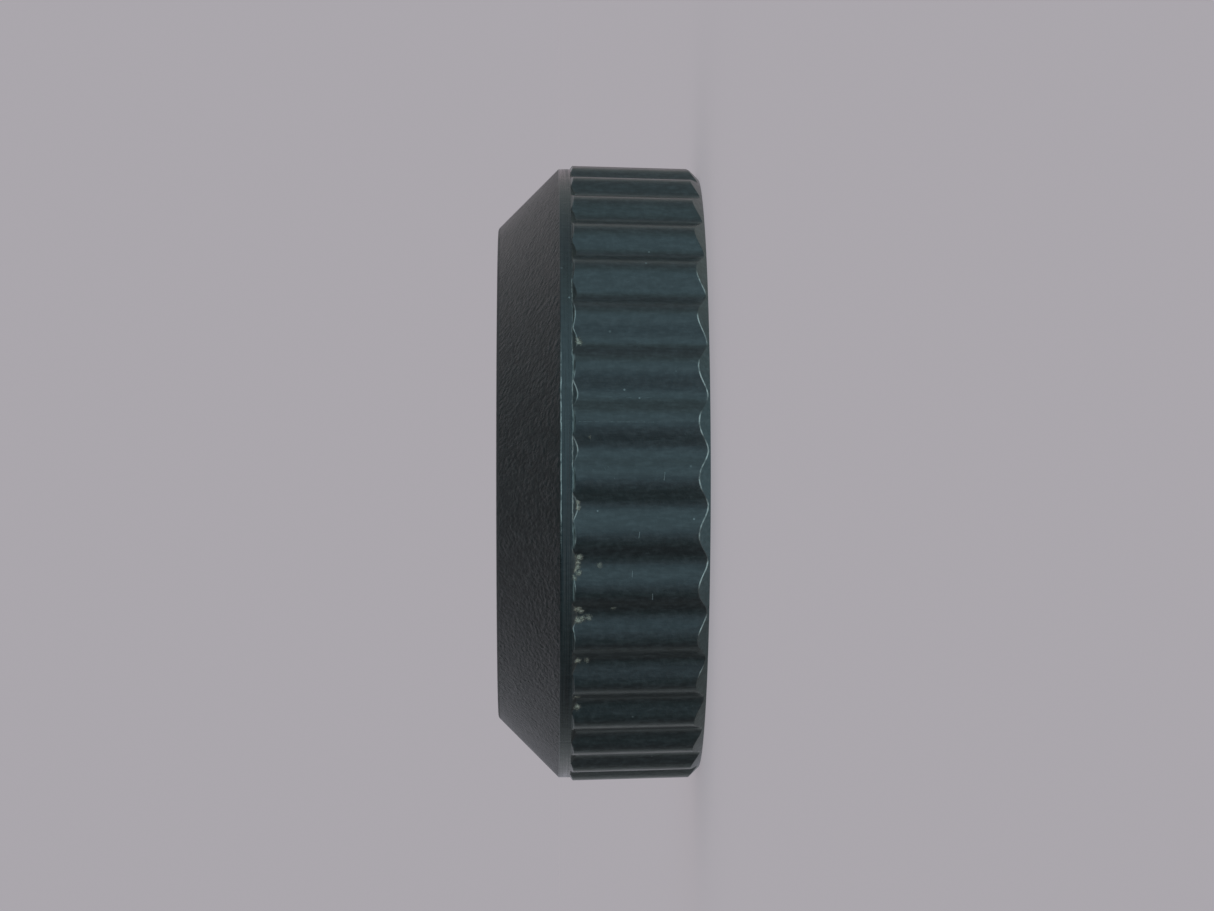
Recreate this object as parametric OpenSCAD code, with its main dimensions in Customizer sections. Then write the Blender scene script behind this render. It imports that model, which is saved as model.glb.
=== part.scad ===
// Push-on timer knob, moulded in one piece: a flat front face, a 45 degree
// grained bevel, a narrow smooth band, a fluted grip with moulding draft,
// and a hollow back with a hub for a flatted 6 mm shaft.
// Millimetres. The axis is Z, the front face is up and the back rim lies on z = 0.

/* [Overall] */
// Diameter over the flute crests at the front end of the grip
knob_d = 40; // [38:0.5:44]
// Height from the back rim to the front face
knob_h = 12.9; // [12.5:0.1:16]

/* [Front] */
// Diameter of the flat front face
face_d = 31.7; // [30:0.1:32.4]
// Radius that rounds the edge between the front face and the bevel
face_edge_r = 0.35; // [0.1:0.05:0.8]
// How far the band lies below the flute crests
band_step = 0.26; // [0.15:0.01:0.3]
// Width of the smooth band between the bevel and the flutes
band_w = 0.73; // [0.5:0.01:1.5]

/* [Grip] */
// Number of flutes round the grip
flute_n = 36; // [24:1:48]
// Depth of a flute from crest to valley
flute_depth = 0.54; // [0.46:0.02:0.8]
// How much flatter the crests are than the valleys
flute_flat = 0.06; // [0:0.01:0.1]
// Moulding draft of the grip, in degrees
draft_deg = 1.5; // [0.5:0.1:3]
// Length over which the flutes run out against the band
run_out = 0.28; // [0.15:0.01:0.5]
// Size of the 45 degree chamfer round the back edge
back_chamfer = 0.69; // [0.6:0.01:0.9]

/* [Hollow back] */
// Thickness of the outer wall
wall_t = 2.0; // [1.5:0.1:2.5]
// Thickness of the front wall
front_t = 2.2; // [1.8:0.1:2.4]
// Draft of the hollow, in degrees
hollow_draft_deg = 1.0; // [0.5:0.1:2]
// Diameter of the hub
hub_d = 11; // [10:0.1:12]
// How far the end of the hub lies inside the back rim
hub_recess = 0.8; // [0.5:0.1:1.5]
// Number of ribs between the hub and the wall
rib_n = 4; // [4:1:4]
// Thickness of a rib
rib_t = 1.2; // [0.8:0.1:1.6]
// How far the ribs' edges lie inside the back rim
rib_recess = 3.0; // [2:0.1:5]

/* [Shaft] */
// Diameter of the round bore that guides a 6 mm shaft
bore_d = 6.05; // [6.02:0.01:6.1]
// Length of the round bore at its mouth
round_l = 4.2; // [3.5:0.1:5]
// Diameter of the deeper, flatted part of the bore, relieved round the shaft
deep_d = 6.4; // [6.36:0.01:6.6]
// Distance from the shaft axis to the flat of the bore, which lies on the +Y side
flat_off = 1.53; // [1.5:0.01:1.6]
// Depth of the bore from the end of the hub
bore_l = 9.2; // [8.5:0.1:9.4]

/* [Hidden] */
$fn = 96;

crest_r = knob_d / 2;
face_r = face_d / 2;
band_r = crest_r - band_step;
bevel_h = band_r - face_r;                 // the bevel is at 45 degrees
z_bevel = knob_h - bevel_h;                // front edge of the band
z_grip = z_bevel - band_w;                 // front end of the flutes
back_crest_r = crest_r - z_grip * tan(draft_deg);
valley_r = crest_r - flute_depth;
core_r = valley_r - 0.9;                   // inside every flute valley
core_drop = run_out * (band_r - core_r) / (band_r - valley_r);
step_run = 0.15;                           // slope at the crests' front ends
step_up = 0.02;                            // the slope meets the band this far before the flutes' ends
grip_over = 0.06;                          // the flutes' outline ends this far inside the band
flute_pts = 12;                            // points along one flute
hollow_top = knob_h - front_t;
hollow_r0 = back_crest_r - flute_depth - wall_t;
hollow_r1 = hollow_r0 - z_bevel * tan(hollow_draft_deg);
bevel_in = face_r + knob_h - wall_t * sqrt(2);   // r + z along the bevel's inner face
z_in = bevel_in - hollow_r1;                      // where the inner bevel starts
tilt = 22.5;                                      // half of 45 degrees
edge_t = face_edge_r * tan(tilt);                 // length of the rounding along each side

// Radius of the grip at angle a: rounded crests and rounded valleys, a crest at -Y
function flute_r(a) =
    let (c = cos((a + 90) * flute_n))
    crest_r - flute_depth * ((1 - c) / 2 - flute_flat * (1 - c * c));

// Arc that rounds the edge between the front face and the bevel
function edge_arc(n) = [for (i = [0 : n])
    let (a = 45 + 45 * i / n)
    [face_r - edge_t + face_edge_r * cos(a), knob_h - face_edge_r + face_edge_r * sin(a)]];

// Front part: bevel, band and the slope that closes the flutes
module front_solid() {
    rotate_extrude()
        polygon(concat(
            [[0, z_grip - core_drop - 0.6], [core_r, z_grip - core_drop - 0.6],
             [core_r, z_grip - core_drop], [band_r, z_grip], [band_r, z_bevel]],
            edge_arc(5),
            [[0, knob_h]]));
}

// Fluted grip with its draft: the outline shrinks towards the back rim
module grip_solid() {
    n = flute_n * flute_pts;
    grow = 1 + grip_over * tan(draft_deg) / crest_r;   // of the outline, up to its end inside the band
    slope = step_run / band_step;
    intersection() {
        translate([0, 0, z_grip + grip_over])
            mirror([0, 0, 1])
                linear_extrude(height = z_grip + grip_over, scale = back_crest_r / crest_r / grow)
                    polygon([for (i = [0 : n - 1])
                        let (a = 360 * i / n) flute_r(a) * grow * [cos(a), sin(a)]]);
        // back chamfer, and the small slope at the front ends of the crests
        rotate_extrude()
            polygon([[0, -1], [back_crest_r - back_chamfer - 1, -1],
                     [crest_r + 0.5, crest_r + 0.5 - back_crest_r + back_chamfer],
                     [crest_r + 0.5, z_grip + step_up - (band_step + 0.5) * slope],
                     [band_r - 0.05, z_grip + step_up + 0.05 * slope],
                     [0, z_grip + step_up + 0.05 * slope]]);
    }
}

// Space inside the outer wall and behind the front wall
module hollow() {
    rotate_extrude()
        polygon([[0, -1], [hollow_r0 + tan(hollow_draft_deg), -1],
                 [hollow_r1 + (z_bevel - z_in) * tan(hollow_draft_deg), z_in],
                 [bevel_in - hollow_top, hollow_top], [0, hollow_top]]);
}

// Hub on the axis
module hub() {
    translate([0, 0, hub_recess])
        cylinder(d = hub_d, h = hollow_top - hub_recess + front_t / 2);
}

// Ribs from the hub to the outer wall, midway between the X and Y directions
module ribs() {
    for (i = [0 : rib_n - 1])
        rotate([0, 0, 45 + 360 / rib_n * i])
            translate([hub_d / 2 - 1, -rib_t / 2, rib_recess])
                cube([hollow_r1 + wall_t / 2 - hub_d / 2 + 1, rib_t, z_in - rib_recess + 0.1]);
}

// The ribs follow the inner bevel, inside the front wall
module rib_tops() {
    for (i = [0 : rib_n - 1])
        rotate([0, 0, 45 + 360 / rib_n * i])
            translate([0, rib_t / 2, 0])
                rotate([90, 0, 0])
                    linear_extrude(height = rib_t)
                        polygon([[hub_d / 2 - 1, z_in - 0.5], [hollow_r1 + 0.5, z_in - 0.5],
                                 [hollow_r1 + 0.5, z_in + 0.5],
                                 [bevel_in - hollow_top + 0.8, hollow_top + 0.8],
                                 [hub_d / 2 - 1, hollow_top + 0.8]]);
}

// Bore for the shaft: round at the mouth, D-shaped further in
module bore() {
    translate([0, 0, hub_recess - 1])
        cylinder(d = bore_d, h = round_l + 1);
    translate([0, 0, hub_recess + round_l - 0.1])
        difference() {
            cylinder(d = deep_d, h = bore_l - round_l + 0.1);
            translate([-hub_d / 2, flat_off, -1])
                cube([hub_d, hub_d, bore_l]);
        }
}

module knob_body() {
    color([0.085, 0.085, 0.095])
        difference() {
            union() {
                difference() {
                    union() {
                        front_solid();
                        grip_solid();
                    }
                    hollow();
                }
                hub();
                ribs();
                rib_tops();
            }
            bore();
        }
}

knob_body();
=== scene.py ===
import math

import bmesh
import bpy
import numpy as np
from mathutils import Matrix, Vector


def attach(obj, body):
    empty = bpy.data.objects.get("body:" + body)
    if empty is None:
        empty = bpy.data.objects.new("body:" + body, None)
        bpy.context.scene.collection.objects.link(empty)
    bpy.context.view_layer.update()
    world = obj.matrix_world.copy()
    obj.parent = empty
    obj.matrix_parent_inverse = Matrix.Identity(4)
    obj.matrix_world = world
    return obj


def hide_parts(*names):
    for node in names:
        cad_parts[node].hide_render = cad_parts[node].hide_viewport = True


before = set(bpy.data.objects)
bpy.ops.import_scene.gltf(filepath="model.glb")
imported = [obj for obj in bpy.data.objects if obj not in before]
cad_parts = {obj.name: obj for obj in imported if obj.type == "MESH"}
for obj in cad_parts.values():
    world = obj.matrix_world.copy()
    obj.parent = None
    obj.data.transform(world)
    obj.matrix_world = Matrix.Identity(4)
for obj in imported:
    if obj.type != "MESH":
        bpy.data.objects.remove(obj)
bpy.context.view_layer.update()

scene = bpy.context.scene
scene.view_settings.view_transform = "Standard"
scene.view_settings.look = "None"

MM = 0.001

# ----------------------------------------------------------------------------
# Sizes in millimetres, the same as the part's own
# ----------------------------------------------------------------------------
R = 20.0            # flute crests at the front end of the grip
H = 12.9
FACE_R = 15.85
BAND_R = 19.74
Z_BEVEL = H - (BAND_R - FACE_R)
Z_GRIP = Z_BEVEL - 0.73
N_FLUTE = 36
DEPTH = 0.54
FLAT = 0.06         # crests flatter than valleys
TAN_D = math.tan(math.radians(1.5))
R_BACK = R - Z_GRIP * TAN_D
CHAMFER = 0.69
R_END = R_BACK - CHAMFER
VALLEY_R = R - DEPTH
RUN_OUT = 0.28
STEP_SLOPE = 0.15 / 0.26
WALL = 2.0
FRONT_T = 2.2
HUB_R = 5.5
HUB_Z = 0.8
BORE_R = 3.025
ROUND_L = 4.2
DEEP_R = 3.2
FLAT_OFF = 1.53
BORE_L = 9.2
RIB_T = 1.2
RIB_Z = 3.0
HOLLOW_TOP = H - FRONT_T
HOLLOW_R0 = R_BACK - DEPTH - WALL
TAN_H = math.tan(math.radians(1.0))
HOLLOW_R1 = HOLLOW_R0 - Z_BEVEL * TAN_H
BEVEL_IN = FACE_R + H - WALL * math.sqrt(2)
Z_IN = BEVEL_IN - HOLLOW_R1


# ----------------------------------------------------------------------------
# Mesh helpers
# ----------------------------------------------------------------------------
def fillet(a, c, b, rad, n):
    """Rows of an arc that rounds corner c between points a and b, for every angle at once."""
    u1, u2 = a - c, b - c
    l1 = np.linalg.norm(u1, axis=1, keepdims=True)
    l2 = np.linalg.norm(u2, axis=1, keepdims=True)
    u1, u2 = u1 / l1, u2 / l2
    phi = np.arccos(np.clip((u1 * u2).sum(1, keepdims=True), -0.99999, 0.99999))
    t = np.minimum(rad / np.tan(phi / 2), 0.45 * np.minimum(l1, l2))
    p0, p1, w = c + u1 * t, c + u2 * t, np.sin(phi / 2)
    rows = []
    for i in range(n + 1):
        s = i / n
        den = (1 - s) ** 2 + 2 * s * (1 - s) * w + s * s
        rows.append(((1 - s) ** 2 * p0 + 2 * s * (1 - s) * w * c + s * s * p1) / den)
    return rows


def profile(corners):
    """Rows from a list of (points, fillet radius, arc steps, steps of the straight that follows)."""
    rows = []
    for i, (c, rad, n, straight) in enumerate(corners):
        if rad:
            new = fillet(corners[i - 1][0], c, corners[i + 1][0], rad, n)
        else:
            new = [c]
        if rows and rows_gap:
            last = rows[-1]
            for k in range(1, rows_gap):
                rows.append(last + (new[0] - last) * (k / rows_gap))
        rows += new
        rows_gap = straight
    return rows


def revolve(rows, n, name, pole_start=True, pole_end=True):
    """Closed mesh from profile rows of (r, z), each an array over n angles."""
    ang = np.arange(n) * 2 * math.pi / n
    verts, index = [], []
    for k, row in enumerate(rows):
        if (k == 0 and pole_start) or (k == len(rows) - 1 and pole_end):
            index.append(np.full(n, len(verts)))
            verts.append((0.0, 0.0, float(row[0, 1]) * MM))
        else:
            index.append(np.arange(len(verts), len(verts) + n))
            x, y = row[:, 0] * np.cos(ang) * MM, row[:, 0] * np.sin(ang) * MM
            verts += list(zip(x, y, row[:, 1] * MM))
    faces = []
    for k in range(len(rows) - 1):
        a, b = index[k], index[k + 1]
        for i in range(n):
            j = (i + 1) % n
            f = []
            for v in (a[i], b[i], b[j], a[j]):
                if int(v) not in f:
                    f.append(int(v))
            if len(f) > 2:
                faces.append(f)
    if not pole_end:
        faces.append([int(v) for v in index[-1]][::-1])
    mesh = bpy.data.meshes.new(name)
    mesh.from_pydata(verts, [], faces)
    mesh.validate()
    obj = bpy.data.objects.new(name, mesh)
    scene.collection.objects.link(obj)
    b = bmesh.new()
    b.from_mesh(mesh)
    bmesh.ops.recalc_face_normals(b, faces=b.faces)
    b.to_mesh(mesh)
    b.free()
    return obj


def const(points, n):
    return [np.tile(np.array([p], float), (n, 1)) for p in points]


def boolean(obj, other, how):
    m = obj.modifiers.new("cut", "BOOLEAN")
    m.operation, m.object, m.solver = how, other, "EXACT"
    dg = bpy.context.evaluated_depsgraph_get()
    made = bpy.data.meshes.new_from_object(obj.evaluated_get(dg))
    obj.modifiers.clear()
    old = obj.data
    obj.data = made
    bpy.data.meshes.remove(old)
    bpy.data.objects.remove(other)
    return obj


def box_solid(lo, hi, name, turn=0.0):
    b = bmesh.new()
    bmesh.ops.create_cube(b, size=1.0)
    for v in b.verts:
        v.co = Vector(tuple((l + h) / 2 + c * (h - l) for c, l, h in zip(v.co, lo, hi))) * MM
    bmesh.ops.bevel(b, geom=b.edges[:], offset=0.12 * MM, segments=2, affect="EDGES")
    bmesh.ops.rotate(b, verts=b.verts, cent=(0, 0, 0), matrix=Matrix.Rotation(turn, 3, "Z"))
    mesh = bpy.data.meshes.new(name)
    b.to_mesh(mesh)
    b.free()
    obj = bpy.data.objects.new(name, mesh)
    scene.collection.objects.link(obj)
    return obj


# ----------------------------------------------------------------------------
# Outside of the knob: face, bevel, band, flutes, back chamfer and rim
# ----------------------------------------------------------------------------
NA = N_FLUTE * 24
ang = np.arange(NA) * 2 * math.pi / NA
wave0 = np.cos(N_FLUTE * (ang + math.pi / 2))
flute0 = R - DEPTH * ((1 - wave0) / 2 - FLAT * (1 - wave0 ** 2))
rise = flute0 - BAND_R
run = np.where(rise > 0, rise * STEP_SLOPE, -rise * RUN_OUT / (BAND_R - VALLEY_R))
z_end = Z_GRIP - np.sqrt(run ** 2 + 0.03 ** 2)
r_end = flute0 * (1 - (Z_GRIP - z_end) * TAN_D / R)
z_cham = (flute0 * (1 - Z_GRIP * TAN_D / R) - R_END) / (1 - flute0 * TAN_D / R)
r_cham = R_END + z_cham

one = np.ones(NA)


def ring(r, z):
    return np.stack([r * one, z * one], 1)


outside = profile([
    (ring(0, H), 0, 0, 1),
    (ring(3, H), 0, 0, 2),
    (ring(9, H), 0, 0, 4),
    (ring(FACE_R, H), 0.35, 7, 12),
    (ring(BAND_R, Z_BEVEL), 0.11, 6, 4),
    (ring(BAND_R, Z_GRIP), 0.045, 5, 3),
    (ring(r_end, z_end), 0.07, 5, 12),
    (ring(r_cham, z_cham), 0.06, 5, 4),
    (ring(R_END, 0), 0.05, 4, 2),
    (ring(17.9, 0), 0, 0, 0),
])
knob = revolve(outside, NA, "knob_body_visual", True, False)

# ----------------------------------------------------------------------------
# Hollow back: outer wall, hub, ribs and the flatted bore
# ----------------------------------------------------------------------------
NB = 128


def solid(corners, name, n=NB):
    rows = profile([(const([p], n)[0], rad, k, s) for p, rad, k, s in corners])
    return revolve(rows, n, name)


hollow = solid([
    ((0, -2), 0, 0, 1),
    ((HOLLOW_R0 + 2.0, -2), 0, 0, 1),
    ((HOLLOW_R0 + 0.15, 0.0), 0.3, 4, 6),
    ((HOLLOW_R1 + (Z_BEVEL - Z_IN) * TAN_H, Z_IN), 0.8, 4, 3),
    ((BEVEL_IN - HOLLOW_TOP, HOLLOW_TOP), 0.6, 4, 8),
    ((0, HOLLOW_TOP), 0, 0, 0),
], "hollow")
hub = solid([
    ((0, HUB_Z), 0, 0, 1),
    ((HUB_R, HUB_Z), 0.2, 3, 5),
    ((HUB_R + 0.05, HOLLOW_TOP - 0.02), 0.5, 4, 1),
    ((HUB_R + 1.2, HOLLOW_TOP + 0.01), 0, 0, 1),
    ((HUB_R + 1.2, HOLLOW_TOP + 1.0), 0, 0, 1),
    ((0, HOLLOW_TOP + 1.0), 0, 0, 0),
], "hub")
boolean(hollow, hub, "DIFFERENCE")
for k in range(4):
    rib = box_solid((HUB_R - 1.0, -RIB_T / 2, RIB_Z), (HOLLOW_R0 + 1.0, RIB_T / 2, H + 1.0),
                    "rib_%d" % k, math.radians(45 + 90 * k))
    boolean(hollow, rib, "DIFFERENCE")
bore = solid([
    ((0, HUB_Z - 1.0), 0, 0, 1),
    ((BORE_R + 0.25, HUB_Z - 1.0), 0, 0, 1),
    ((BORE_R + 0.25, HUB_Z), 0, 0, 1),
    ((BORE_R, HUB_Z + 0.25), 0, 0, 6),
    ((BORE_R, HUB_Z + ROUND_L + 0.05), 0, 0, 1),
    ((0, HUB_Z + ROUND_L + 0.05), 0, 0, 0),
], "bore", 96)
deep = solid([
    ((0, HUB_Z + ROUND_L - 0.1), 0, 0, 1),
    ((BORE_R + 0.02, HUB_Z + ROUND_L - 0.1), 0, 0, 1),
    ((DEEP_R, HUB_Z + ROUND_L + 0.02), 0, 0, 4),
    ((DEEP_R, HUB_Z + BORE_L), 0.15, 3, 1),
    ((0, HUB_Z + BORE_L), 0, 0, 0),
], "deep", 96)
key = box_solid((-8, FLAT_OFF, HUB_Z + 1.0), (8, 9, H + 3), "key")
boolean(deep, key, "DIFFERENCE")
boolean(knob, hollow, "DIFFERENCE")
boolean(knob, bore, "DIFFERENCE")
boolean(knob, deep, "DIFFERENCE")

mesh = knob.data
b = bmesh.new()
b.from_mesh(mesh)
bmesh.ops.remove_doubles(b, verts=b.verts, dist=1e-7)
bmesh.ops.recalc_face_normals(b, faces=b.faces)
big = [f for f in b.faces if len(f.verts) > 4]
bmesh.ops.triangulate(b, faces=big, quad_method="BEAUTY", ngon_method="BEAUTY")
b.to_mesh(mesh)
b.free()
mesh.name = "knob_body_visual"
mesh.polygons.foreach_set("use_smooth", [True] * len(mesh.polygons))
mesh.set_sharp_from_angle(angle=math.radians(40))


# ----------------------------------------------------------------------------
# Node helpers
# ----------------------------------------------------------------------------
class Nodes:
    def __init__(self, tree):
        self.t = tree
        self.t.nodes.clear()

    def new(self, kind, **props):
        n = self.t.nodes.new(kind)
        for k, v in props.items():
            setattr(n, k, v)
        return n

    def put(self, socket, value):
        if isinstance(value, bpy.types.NodeSocket):
            self.t.links.new(value, socket)
        elif value is not None:
            socket.default_value = value

    def math(self, op, a, b=None, c=None, clamp=False):
        n = self.new("ShaderNodeMath", operation=op, use_clamp=clamp)
        for s, v in zip(n.inputs, (a, b, c)):
            self.put(s, v)
        return n.outputs[0]

    def add(self, a, b):
        return self.math("ADD", a, b)

    def sub(self, a, b):
        return self.math("SUBTRACT", a, b)

    def mul(self, a, b):
        return self.math("MULTIPLY", a, b)

    def vec(self, op, a, b=None, scale=None):
        n = self.new("ShaderNodeVectorMath", operation=op)
        self.put(n.inputs[0], a)
        if b is not None:
            self.put(n.inputs[1], b)
        if scale is not None:
            self.put(n.inputs["Scale"], scale)
        return n.outputs["Value"] if op in ("DOT_PRODUCT", "LENGTH", "DISTANCE") else n.outputs[0]

    def xyz(self, v):
        n = self.new("ShaderNodeSeparateXYZ")
        self.put(n.inputs[0], v)
        return n.outputs

    def comb(self, x, y, z):
        n = self.new("ShaderNodeCombineXYZ")
        for s, v in zip(n.inputs, (x, y, z)):
            self.put(s, v)
        return n.outputs[0]

    def step(self, x, lo, hi, a=0.0, b=1.0, kind="SMOOTHSTEP"):
        n = self.new("ShaderNodeMapRange", interpolation_type=kind)
        n.clamp = True
        for s, v in zip(n.inputs, (x, lo, hi, a, b)):
            self.put(s, v)
        return n.outputs[0]

    def noise(self, v, scale, detail=2.0, rough=0.5, dist=0.0):
        n = self.new("ShaderNodeTexNoise", noise_dimensions="3D")
        self.put(n.inputs["Vector"], v)
        n.inputs["Scale"].default_value = scale
        n.inputs["Detail"].default_value = detail
        n.inputs["Roughness"].default_value = rough
        n.inputs["Distortion"].default_value = dist
        return n.outputs["Fac"]

    def voronoi(self, v, scale, feature="F1", out="Distance", random=1.0):
        n = self.new("ShaderNodeTexVoronoi", voronoi_dimensions="3D", feature=feature)
        self.put(n.inputs["Vector"], v)
        n.inputs["Scale"].default_value = scale
        n.inputs["Randomness"].default_value = random
        return n.outputs[out]

    def mix(self, fac, a, b, blend="MIX"):
        n = self.new("ShaderNodeMix", data_type="RGBA", blend_type=blend)
        self.put(n.inputs[0], fac)
        self.put(n.inputs[6], a)
        self.put(n.inputs[7], b)
        return n.outputs[2]

    def bump(self, height, strength, distance, normal=None):
        n = self.new("ShaderNodeBump")
        n.inputs["Strength"].default_value = strength
        n.inputs["Distance"].default_value = distance
        self.put(n.inputs["Height"], height)
        if normal is not None:
            self.put(n.inputs["Normal"], normal)
        return n.outputs[0]


def rgb(r, g, b):
    return (r, g, b, 1.0)


def on_knob(theta_deg, z):
    """A point on the surface of the band or the grip, in millimetres."""
    a = math.radians(theta_deg)
    c = math.cos(N_FLUTE * (a + math.pi / 2))
    r = BAND_R
    if z < Z_GRIP:
        front = R - DEPTH * ((1 - c) / 2 - FLAT * (1 - c * c))
        r = front * (1 - (Z_GRIP - z) * TAN_D / R)
        if front < BAND_R:
            r = max(r, BAND_R - (Z_GRIP - z) * (BAND_R - VALLEY_R) / RUN_OUT)
        else:
            r = min(r, BAND_R + (Z_GRIP - z) / STEP_SLOPE)
    return (r * math.cos(a), r * math.sin(a), z)


class Knob(Nodes):
    """Nodes that know where they are on the knob: millimetres, angle and flute phase."""

    def __init__(self, tree):
        super().__init__(tree)
        tex = self.new("ShaderNodeTexCoord")
        self.p = self.vec("SCALE", tex.outputs["Object"], scale=1000.0)
        x, y, z = self.xyz(self.p)
        self.x, self.y, self.z = x, y, z
        self.theta = self.math("ARCTAN2", y, x)
        self.wave = self.math("COSINE", self.mul(self.add(self.theta, math.pi / 2), float(N_FLUTE)))
        # flute radius at the front end of the grip
        bow = self.mul(self.sub(1.0, self.mul(self.wave, self.wave)), DEPTH * FLAT)
        self.flute = self.add(self.add(self.mul(self.wave, DEPTH / 2), R - DEPTH / 2), bow)

    def helix(self, turn, stretch):
        """Coordinates in millimetres, sheared along a helix and stretched along it."""
        n = self.new("ShaderNodeVectorRotate", rotation_type="Z_AXIS")
        self.put(n.inputs["Vector"], self.p)
        self.put(n.inputs["Angle"], self.mul(self.z, turn))
        v = self.xyz(n.outputs[0])
        return self.comb(v[0], v[1], self.mul(self.z, stretch))

    def grain(self, turn, across, on_face):
        """Coordinates that run in short strokes on the bevel, slanting more on one side, and evenly on the face."""
        slant = self.add(self.mul(self.arc(-78.0, 40.0, 18.0, 40.0), 0.75 * turn), 0.25 * turn)
        a = self.add(self.theta, self.mul(self.sub(self.z, (H + Z_BEVEL) / 2), slant))
        bevel = self.comb(self.mul(self.math("COSINE", a), 32.0), self.mul(self.math("SINE", a), 32.0),
                          self.mul(self.z, across))
        face = self.vec("SCALE", self.p, scale=on_face)
        return self.mix(self.step(self.z, H - 0.16, H - 0.04), bevel, face)

    def line(self, where, half, soft=0.5):
        """1 on the height `where`, 0 further than `half` from it."""
        d = self.math("ABSOLUTE", self.sub(self.z, where))
        return self.step(d, half * soft, half, 1.0, 0.0)

    def arc(self, lo, hi, soft_lo, soft_hi):
        """1 between two angles in degrees, with soft ends."""
        a, b = math.radians(lo), math.radians(hi)
        sa, sb = math.radians(soft_lo), math.radians(soft_hi)
        return self.mul(self.step(self.theta, a - sa, a + sa), self.step(self.theta, b - sb, b + sb, 1.0, 0.0))

    def arcs(self, spans, soft):
        return self.most([self.arc(lo, hi, soft, soft) for lo, hi in spans])

    def spot(self, theta, z, r_in, r_out, ragged):
        d = self.vec("DISTANCE", self.p, on_knob(theta, z))
        return self.step(self.add(d, ragged), r_in, r_out, 1.0, 0.0)

    def scratch(self, a, b, half):
        pa, pb = Vector(on_knob(*a)), Vector(on_knob(*b))
        ab = pb - pa
        v = self.vec("SUBTRACT", self.p, tuple(pa))
        t = self.mul(self.vec("DOT_PRODUCT", v, tuple(ab)), 1.0 / ab.length_squared)
        t = self.math("MINIMUM", self.math("MAXIMUM", t, 0.0), 1.0)
        along = self.vec("SCALE", tuple(ab), scale=t)
        return self.step(self.vec("DISTANCE", v, along), half * 0.4, half, 1.0, 0.0)

    def most(self, masks):
        out = masks[0]
        for m in masks[1:]:
            out = self.math("MAXIMUM", out, m)
        return out

    def shader(self, color, rough, normal, spec=0.5):
        s = self.new("ShaderNodeBsdfPrincipled")
        self.put(s.inputs["Base Color"], color)
        self.put(s.inputs["Roughness"], rough)
        s.inputs["IOR"].default_value = 1.5
        s.inputs["Specular IOR Level"].default_value = spec
        self.put(s.inputs["Normal"], normal)
        o = self.new("ShaderNodeOutputMaterial")
        self.t.links.new(s.outputs[0], o.inputs[0])
        return s


def material(name):
    m = bpy.data.materials.new(name)
    m.use_nodes = True
    return m


# ----------------------------------------------------------------------------
# Wear, dirt and painted edge highlights: angles round the axis in degrees, heights and sizes in millimetres
# ----------------------------------------------------------------------------
# angle spans of the pale lines on the back edge and the flutes' ends: partly wear, partly painted highlight
BACK_SPANS = (
    (-54.3, -50.8), (-65.0, -60.0), (-75.6, -69.1), (-82.4, -78.5), (-91.8, -83.4),
    (-100.4, -93.8), (-109.5, -104.9), (-118.4, -115.8), (-128.0, -126.7),
)
RUN_SPANS = (
    (-65.7, -58.3), (-76.5, -71.3), (-86.4, -82.9), (-101.5, -93.4), (-109.6, -107.6), (-119.3, -116.8),
)
NICKS = (
    ((-88.86, 2.77), (-90.24, 2.82), 0.040),
    ((-99.25, 4.27), (-100.21, 4.32), 0.035),
    ((-106.58, 4.67), (-107.53, 4.70), 0.035),
    ((-110.49, 3.47), (-111.67, 3.47), 0.035),
)
HAIRS = (
    ((-86.40, 6.77), (-88.52, 6.30), 0.030),
    ((-87.82, 6.18), (-90.06, 5.76), 0.030),
    ((-80.18, 7.91), (-80.21, 3.07), 0.035),
    ((-75.46, 6.16), (-75.50, 3.52), 0.030),
)
SPECKS = (
    (-74.13, 5.17, 0.09), (-75.62, 4.27, 0.08), (-48.76, 3.76, 0.09), (-44.53, 3.54, 0.07),
    (-56.43, 8.46, 0.09), (-97.15, 1.02, 0.08), (-95.74, 6.79, 0.07),
)
DIRT = (
    (-65.17, 7.89, 0.10, 0.22), (-64.61, 7.97, 0.05, 0.16),
    (-94.22, 7.98, 0.03, 0.15), (-95.12, 7.99, 0.04, 0.17),
    (-104.04, 7.91, 0.10, 0.26), (-105.05, 8.00, 0.06, 0.20), (-105.84, 7.98, 0.06, 0.20),
    (-106.82, 7.91, 0.05, 0.18), (-106.33, 8.11, 0.05, 0.18), (-107.59, 8.20, 0.04, 0.16),
    (-113.77, 7.97, 0.11, 0.26), (-114.31, 7.76, 0.05, 0.18), (-116.05, 7.97, 0.10, 0.25),
    (-115.80, 7.68, 0.06, 0.19), (-115.61, 7.31, 0.06, 0.19),
    (-124.77, 7.96, 0.08, 0.22), (-124.81, 7.38, 0.05, 0.18),
    (-133.54, 7.97, 0.07, 0.20), (-136.36, 7.96, 0.07, 0.20),
)
FAINT_DIRT = ((-105.53, 6.67, 0.04, 0.24), (-113.73, 5.82, 0.05, 0.18), (-82.76, 7.27, 0.0, 0.12))

# ----------------------------------------------------------------------------
# Smooth moulded plastic: band, flutes, chamfer and rim, with wear, dirt and painted edge highlights
# ----------------------------------------------------------------------------
smooth = material("black_plastic_smooth")
k = Knob(smooth.node_tree)
cloud = k.noise(k.p, 0.45, 3.0, 0.55)
fine = k.noise(k.p, 5.0, 3.0, 0.6)
grit = k.noise(k.p, 16.0, 2.0, 0.6)
streak = k.noise(k.helix(0.0, 0.13), 5.0, 3.0, 0.65)
blotch = k.noise(k.p, 2.3, 3.0, 0.6)
mottle = k.add(k.add(k.mul(cloud, 0.20), k.mul(blotch, 0.30)), k.add(k.mul(streak, 0.35), k.mul(fine, 0.15)))
lathe = k.noise(k.vec("MULTIPLY", k.p, (0.12, 0.12, 10.0)), 1.0, 1.0, 0.5)
on_band = k.step(k.z, Z_GRIP - 0.02, Z_GRIP + 0.02)
rest = k.step(k.y, -5.0, 2.0)
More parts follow.
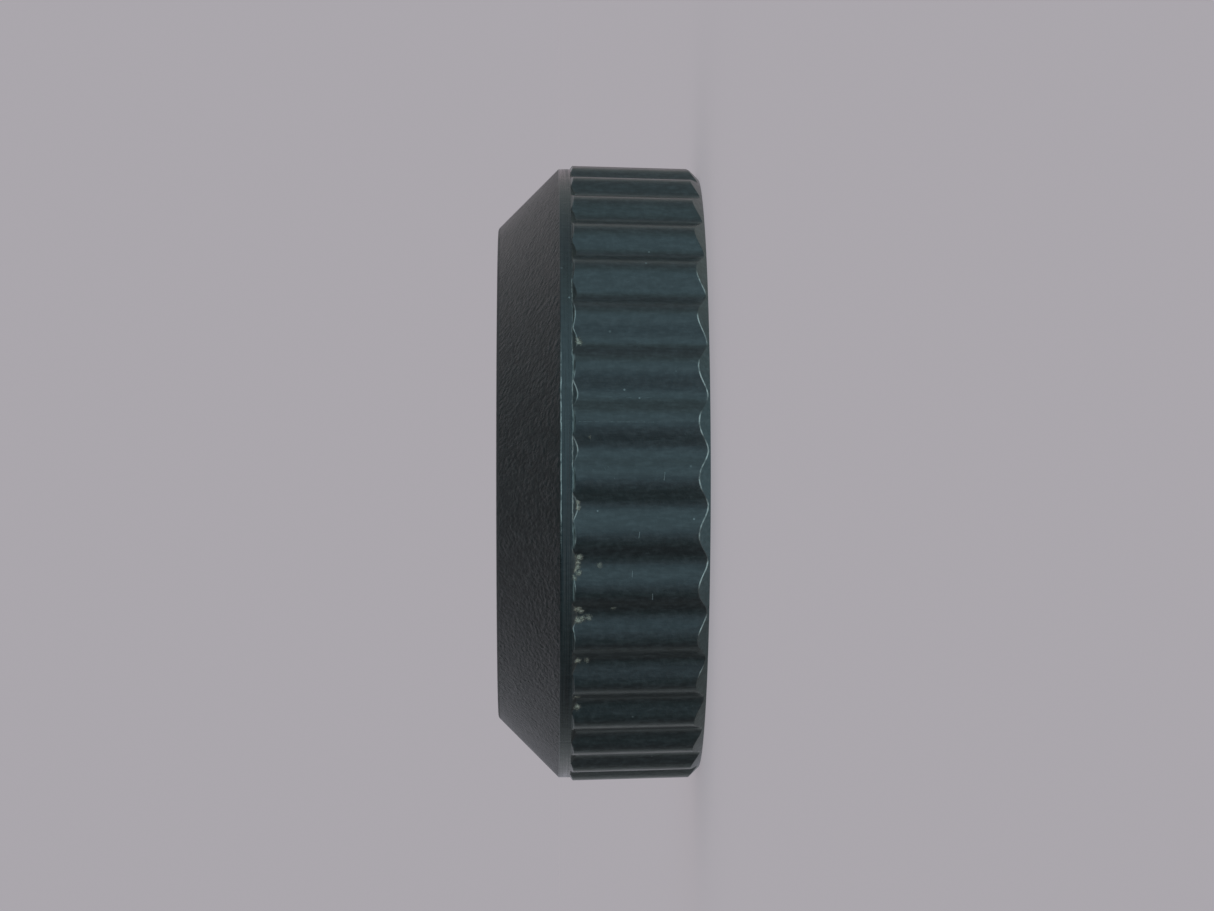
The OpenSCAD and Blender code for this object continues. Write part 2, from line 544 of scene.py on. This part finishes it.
# a thin film of handling dust, patchy and drawn out along the flutes, thinner on the far side
film = k.add(k.mul(k.noise(k.helix(0.0, 0.28), 4.2, 2.0, 0.55), 0.54), k.mul(k.noise(k.p, 3.0, 2.0, 0.55), 0.46))
film = k.mul(k.sub(film, 0.5), k.sub(1.0, k.mul(rest, 0.45)))
film = k.add(k.mul(film, k.sub(1.0, k.mul(on_band, 0.6))), k.mul(k.mul(k.sub(lathe, 0.5), on_band), 0.40))
color = k.mix(k.step(film, -0.07, 0.19, kind="LINEAR"), rgb(0.0072, 0.0088, 0.0099), rgb(0.0262, 0.0300, 0.0321))
rough = k.add(k.mul(k.sub(streak, 0.5), 0.14), k.add(k.mul(k.sub(mottle, 0.5), 0.20), 0.33))
rough = k.add(rough, k.mul(k.mul(k.sub(lathe, 0.5), on_band), 0.30))

# pale lines on the edges, partly rubbed wear and partly painted highlight: bevel/band, band/flutes, the flutes' ends
# and the wavy back edge; painted strongest on the -Y side, in patches elsewhere
wobble = k.mul(k.sub(k.noise(k.p, 1.8, 3.0, 0.65), 0.5), 0.13)
uneven = k.step(k.noise(k.p, 1.7, 3.0, 0.65), 0.34, 0.64, 0.22, 1.0)
z_wave = k.add(k.mul(k.flute, (1 - Z_GRIP * TAN_D / R) / (1 - R * TAN_D / R)), -R_END / (1 - R * TAN_D / R))
gap = k.sub(BAND_R, k.flute)
run_in = k.math("MAXIMUM", k.mul(gap, RUN_OUT / (BAND_R - VALLEY_R)), k.mul(gap, -STEP_SLOPE))
z_run = k.sub(Z_GRIP - 0.02, k.math("SQRT", k.add(k.mul(run_in, run_in), 0.0009)))
patch = k.mul(rest, k.step(k.noise(k.p, 0.11, 2.0, 0.5), 0.49, 0.60))
dashes = k.mul(rest, k.step(k.noise(k.p, 0.5, 2.0, 0.5), 0.48, 0.58))
edge_band = k.mul(k.line(k.add(wobble, Z_BEVEL - 0.03), 0.054, 0.25),
                  k.most([k.arc(-100.0, -68.0, 4.5, 7.0), patch]))
crest = k.step(gap, -0.20, -0.03, 1.0, 0.0)
edge_grip = k.mul(k.line(k.add(k.add(wobble, Z_GRIP + 0.01), k.mul(crest, -0.025)), 0.047, 0.25),
                  k.most([k.mul(k.arc(-101.5, -66.0, 3.0, 4.0), 0.75), k.mul(k.arc(-64.0, -49.0, 1.5, 1.5), 0.4), patch]))
edge_run = k.mul(k.line(z_run, 0.055, 0.25), k.most([k.mul(k.arcs(RUN_SPANS, 0.8), 0.7), k.mul(dashes, 0.5)]))
# on the crests' step the broad pale bar and the lowest line are a painted reflection; the thin line at its top is
# partly wear, partly painted highlight
edge_step = k.mul(crest, k.most([
    k.mul(k.line(Z_GRIP - 0.075, 0.11, 0.6), 0.12),
    k.mul(k.line(k.add(k.mul(wobble, 0.6), Z_GRIP - 0.06), 0.055, 0.3), k.arc(-112.0, -66.0, 2.0, 2.0)),
    k.mul(k.line(k.add(k.mul(wobble, 0.5), Z_GRIP - 0.13), 0.050, 0.3),
          k.most([k.mul(k.arc(-127.0, -48.0, 2.0, 2.0), 0.14), k.mul(dashes, 0.20)]))]))
edge_back = k.mul(k.line(k.add(k.mul(wobble, 0.5), z_wave), 0.060, 0.3),
                  k.most([k.arcs(BACK_SPANS, 0.7), k.mul(dashes, 0.8)]))
edges = k.most([k.mul(k.most([edge_band, edge_grip, edge_run, edge_back]), uneven),
                k.mul(edge_step, k.add(k.mul(uneven, 0.4), 0.55))])

# fine lengthwise scratches, nicks and specks
lines_a = k.step(k.math("ABSOLUTE", k.sub(k.noise(k.helix(0.012, 0.035), 3.2, 1.0, 0.4), 0.55)), 0.0, 0.008, 1.0, 0.0)
lines_b = k.step(k.math("ABSOLUTE", k.sub(k.noise(k.helix(-0.05, 0.06), 2.6, 1.0, 0.4), 0.42)), 0.0, 0.006, 1.0, 0.0)
patchy = k.step(k.noise(k.p, 0.7, 2.0, 0.5), 0.48, 0.64)
hair = k.mul(k.most([lines_a, lines_b]), patchy)
marks = k.most([k.scratch(*m) for m in NICKS] + [k.mul(k.scratch(*m), k.step(blotch, 0.44, 0.62, 0.0, 0.6)) for m in HAIRS])
dots = k.mul(k.step(k.voronoi(k.p, 0.42), 0.022, 0.042, 1.0, 0.0), 0.35)
specks = k.most([dots] + [k.spot(t, z, 0.02, w, 0.0) for t, z, w in SPECKS])

# pale dirt packed into the flutes' front corners
crumb = k.mul(k.sub(k.noise(k.p, 7.0, 4.0, 0.7), 0.5), 0.55)
corner = k.mul(k.line(Z_GRIP - 0.27, 0.34, 0.3), k.step(gap, 0.15, 0.34))
packed = k.mul(k.mul(corner, rest), k.step(k.noise(k.p, 1.4, 3.0, 0.6), 0.56, 0.66))
dirt = k.most([packed] + [k.spot(t, z, lo - 0.06, hi + 0.06, crumb) for t, z, lo, hi in DIRT])
faint_dirt = k.most([k.spot(t, z, lo, hi, crumb) for t, z, lo, hi in FAINT_DIRT])
dirt = k.most([dirt, k.mul(faint_dirt, 0.45)])

# pale edge colour: partly rubbed wear, partly painted highlight and reflection
color = k.mix(k.mul(edges, 0.85), color, rgb(0.44, 0.46, 0.44))
color = k.mix(k.mul(hair, 0.085), color, rgb(0.20, 0.24, 0.25))
color = k.mix(k.mul(marks, 0.42), color, rgb(0.26, 0.30, 0.31))
color = k.mix(k.mul(specks, 0.5), color, rgb(0.30, 0.33, 0.33))
cream = k.mix(k.step(k.add(k.mul(fine, 0.6), k.mul(grit, 0.4)), 0.36, 0.62), rgb(0.17, 0.15, 0.115), rgb(0.46, 0.43, 0.35))
color = k.mix(k.mul(dirt, k.step(grit, 0.36, 0.58, 0.42, 0.85)), color, cream)
rough = k.math("ADD", rough, k.most([k.mul(dirt, 0.5), k.mul(edges, 0.12), k.mul(marks, 0.15)]), clamp=True)
relief = k.add(k.mul(fine, 0.25), k.add(k.mul(blotch, 0.18), k.mul(streak, 0.26)))
relief = k.add(relief, k.mul(k.mul(lathe, on_band), 0.8))
normal = k.bump(relief, 1.0, 0.045 * MM)
normal = k.bump(k.add(dirt, k.mul(marks, -0.5)), 0.6, 0.05 * MM, normal)
k.shader(color, rough, normal)

# ----------------------------------------------------------------------------
# Grained plastic: bevel and front face
# ----------------------------------------------------------------------------
grained = material("black_plastic_grained")
k = Knob(grained.node_tree)
cloud = k.noise(k.p, 0.4, 3.0, 0.55)
h1 = k.grain(0.0444, 2.5, 2.0)
cells = k.voronoi(h1, 2.3, "SMOOTH_F1")
wrinkle = k.noise(h1, 2.8, 3.0, 0.65, 0.5)
grit = k.noise(k.p, 14.0, 2.0, 0.6)
pebble = k.noise(k.p, 3.6, 3.0, 0.65)
leather = k.add(k.add(k.mul(cells, 0.9), k.mul(pebble, 0.6)), k.add(k.mul(wrinkle, 1.1), k.mul(grit, 0.45)))
color = k.mix(k.step(leather, 1.15, 1.72), rgb(0.0038, 0.0036, 0.0038), rgb(0.0130, 0.0126, 0.0130))
on_face = k.step(k.z, H - 0.16, H - 0.04)
bevel = k.sub(1.0, on_face)
color = k.mix(k.mul(k.step(cloud, 0.45, 0.75), 0.25), color, rgb(0.016, 0.016, 0.0165))
wobble = k.mul(k.sub(k.noise(k.p, 1.8, 3.0, 0.65), 0.5), 0.13)
uneven = k.step(k.noise(k.p, 1.7, 3.0, 0.65), 0.34, 0.64, 0.22, 1.0)
rest = k.step(k.y, -5.0, 2.0)
patch = k.mul(rest, k.step(k.noise(k.p, 0.11, 2.0, 0.5), 0.49, 0.60))
# pale line on the bevel/band edge: partly rubbed wear, partly painted highlight, strongest on the -Y side
edge = k.mul(k.line(k.add(wobble, Z_BEVEL - 0.03), 0.054, 0.25), k.most([k.arc(-100.0, -68.0, 4.5, 7.0), patch]))
color = k.mix(k.mul(k.mul(edge, uneven), 0.85), color, rgb(0.44, 0.46, 0.44))
rough = k.add(k.mul(k.sub(grit, 0.5), 0.12), k.add(k.mul(k.mul(k.sub(cloud, 0.5), bevel), 0.08), 0.50))
rough = k.add(rough, k.mul(on_face, 0.12))
depth = k.step(k.noise(k.p, 0.9, 2.0, 0.5), 0.36, 0.62, 0.6, 1.15)
depth = k.add(k.mul(depth, bevel), k.mul(on_face, 0.9))
normal = k.bump(k.mul(k.sub(leather, 1.4), depth), 0.9, 0.063 * MM)
k.shader(color, rough, normal)

# ----------------------------------------------------------------------------
# Inside of the hollow back: plain moulded surface
# ----------------------------------------------------------------------------
inside = material("black_plastic_inside")
k = Knob(inside.node_tree)
cloud = k.noise(k.p, 0.5, 3.0, 0.55)
fine = k.noise(k.p, 7.0, 3.0, 0.6)
flow = k.noise(k.helix(0.0, 0.08), 3.0, 2.0)
color = k.mix(k.step(cloud, 0.3, 0.7), rgb(0.010, 0.011, 0.012), rgb(0.016, 0.017, 0.018))
rough = k.add(k.mul(k.sub(fine, 0.5), 0.12), k.add(k.mul(k.sub(flow, 0.5), 0.10), 0.45))
normal = k.bump(k.add(fine, flow), 0.2, 0.012 * MM)
k.shader(color, rough, normal)

for m in (smooth, grained, inside):
    mesh.materials.append(m)
kinds = []
for f in mesh.polygons:
    c = f.center / MM
    r = math.hypot(c.x, c.y)
    if c.z > H - 0.1 or (c.z > Z_BEVEL + 0.03 and r + c.z > FACE_R + H - 0.6):
        kinds.append(1)
    elif r < 17.85 and c.z < H - 0.1 and not (c.z < 0.001 and f.normal.z < -0.9):
        kinds.append(2)
    else:
        kinds.append(0)
mesh.polygons.foreach_set("material_index", kinds)

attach(knob, "root")
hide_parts("knob_body")

# ----------------------------------------------------------------------------
# Floor
# ----------------------------------------------------------------------------
bm = bmesh.new()
bmesh.ops.create_circle(bm, cap_ends=True, segments=96, radius=1.5)
floor_mesh = bpy.data.meshes.new("floor")
bm.to_mesh(floor_mesh)
bm.free()
floor = bpy.data.objects.new("floor", floor_mesh)
scene.collection.objects.link(floor)
floor.visible_diffuse = False
floor.visible_glossy = False
floor.visible_shadow = False
BACK = (0.405, 0.385, 0.415)
pale_floor = material("pale_floor")
n = Nodes(pale_floor.node_tree)
d = n.new("ShaderNodeBsdfDiffuse")
d.inputs["Color"].default_value = rgb(0.25 * BACK[0] / 0.4012, 0.25 * BACK[1] / 0.4460, 0.25 * BACK[2] / 0.4748)
e = n.new("ShaderNodeEmission")
e.inputs["Color"].default_value = rgb(*BACK)
e.inputs["Strength"].default_value = 0.75
s = n.new("ShaderNodeAddShader")
n.t.links.new(d.outputs[0], s.inputs[0])
n.t.links.new(e.outputs[0], s.inputs[1])
o = n.new("ShaderNodeOutputMaterial")
n.t.links.new(s.outputs[0], o.inputs[0])
floor_mesh.materials.append(pale_floor)

# ----------------------------------------------------------------------------
# Soft studio light all round: a broad cool light, a pale side and a dim side
# ----------------------------------------------------------------------------
world = bpy.data.worlds.new("studio")
world.use_nodes = True
scene.world = world
n = Nodes(world.node_tree)
tex = n.new("ShaderNodeTexCoord")
way = n.vec("NORMALIZE", tex.outputs["Generated"])
LIGHTS = (
    # round the knob: angle from the camera's side towards +X, colour
    (-165, (0.26, 0.261, 0.313)),
    (-150, (0.353, 0.339, 0.371)),
    (-135, (0.348, 0.374, 0.379)),
    (-120, (0.237, 0.281, 0.294)),
    (-105, (0.143, 0.165, 0.163)),
    (-90, (0.042, 0.051, 0.055)),
    (-75, (0.064, 0.082, 0.105)),
    (-60, (0.049, 0.13, 0.122)),
    (-45, (0.001, 0.069, 0.104)),
    (-30, (0.167, 0.25, 0.316)),
    (-15, (0.306, 0.469, 0.543)),
    (0, (0.311, 0.551, 0.682)),
    (15, (0.541, 0.823, 0.946)),
    (30, (0.609, 0.948, 1.06)),
    (45, (0.523, 0.846, 0.999)),
    (60, (0.474, 0.709, 0.804)),
    (75, (0.317, 0.454, 0.455)),
    (90, (0.181, 0.231, 0.261)),
    (105, (0.181, 0.217, 0.268)),
    (120, (0.257, 0.328, 0.315)),
    (135, (0.262, 0.277, 0.268)),
    (150, (0.317, 0.258, 0.278)),
    (165, (0.312, 0.275, 0.304)),
    (180, (0.226, 0.238, 0.277)),
)
BROAD = (
    # above and below: angle, height towards +Z, colour
    (-90, 45, (0.044, 0, 0)),
    (-45, 45, (0.061, 0.032, 0)),
    (0, 45, (0.022, 0.138, 0.121)),
    (135, 45, (0.735, 0.735, 0.752)),
    (180, 45, (0.885, 0.831, 0.873)),
    (-135, 45, (0.482, 0.541, 0.608)),
    (-90, -45, (0.094, 0, 0)),
    (-45, -45, (1.39, 1.43, 1.37)),
    (0, -45, (0.266, 0.078, 0.026)),
    (90, -45, (0.363, 0.435, 0.383)),
    (135, -45, (0.443, 0.511, 0.493)),
    (-135, -45, (0.176, 0.221, 0.199)),
    (0, -90, (0.514, 1.01, 1.19)),
)
light = n.comb(0.0, 0.0, 0.0)
x, y, z = n.xyz(way)
flat = n.vec("NORMALIZE", n.comb(x, y, 0.0))
fade = n.mul(n.mul(z, z), 4.0)
for turn, color in LIGHTS:
    t = math.radians(turn)
    c = n.vec("DOT_PRODUCT", flat, (math.sin(t), -math.cos(t), 0.0))
    f = n.math("EXPONENT", n.sub(n.mul(n.sub(c, 1.0), 30.0), fade))
    light = n.vec("ADD", light, n.vec("SCALE", color, scale=f))
for turn, height, color in BROAD:
    t, h = math.radians(turn), math.radians(height)
    toward = (math.sin(t) * math.cos(h), -math.cos(t) * math.cos(h), math.sin(h))
    c = n.vec("DOT_PRODUCT", way, toward)
    f = n.math("EXPONENT", n.mul(n.sub(c, 1.0), 10.0))
    light = n.vec("ADD", light, n.vec("SCALE", color, scale=f))
bg = n.new("ShaderNodeBackground")
n.put(bg.inputs["Color"], light)
seen = n.new("ShaderNodeBackground")
seen.inputs["Color"].default_value = rgb(*BACK)
path = n.new("ShaderNodeLightPath")
m = n.new("ShaderNodeMixShader")
n.t.links.new(path.outputs["Is Camera Ray"], m.inputs[0])
n.t.links.new(bg.outputs[0], m.inputs[1])
n.t.links.new(seen.outputs[0], m.inputs[2])
o = n.new("ShaderNodeOutputWorld")
n.t.links.new(m.outputs[0], o.inputs[0])

# ----------------------------------------------------------------------------
# Camera: square to the axis from the front's side, the axis lying across the picture
# ----------------------------------------------------------------------------
K_NEAR = 0.085
A_PX = 308.0 * math.sqrt(1 - K_NEAR ** 2)
DIST = R / K_NEAR
F_PX = A_PX * DIST / R
AZ, EL = math.radians(0.68), math.radians(1.12)
back = Vector((math.sin(AZ) * math.cos(EL), -math.cos(AZ) * math.cos(EL), math.sin(EL)))
up = Vector((1, 0, 0))
up = (up - back * up.dot(back)).normalized()
right = (-back).cross(up)
where = Vector((0, 0, 5.85)) + back * DIST + up * ((473.05 - 455.5) / (F_PX / DIST))
cam = bpy.data.cameras.new("camera")
cam.sensor_fit = "HORIZONTAL"
cam.sensor_width = 36.0
cam.lens = F_PX * 36.0 / 1214.0
cam.clip_start, cam.clip_end = 0.01, 10.0
cam_obj = bpy.data.objects.new("camera", cam)
scene.collection.objects.link(cam_obj)
cam_obj.matrix_world = Matrix((
    (right.x, up.x, back.x, where.x * MM),
    (right.y, up.y, back.y, where.y * MM),
    (right.z, up.z, back.z, where.z * MM),
    (0, 0, 0, 1),
))
scene.camera = cam_obj

bpy.context.view_layer.update()
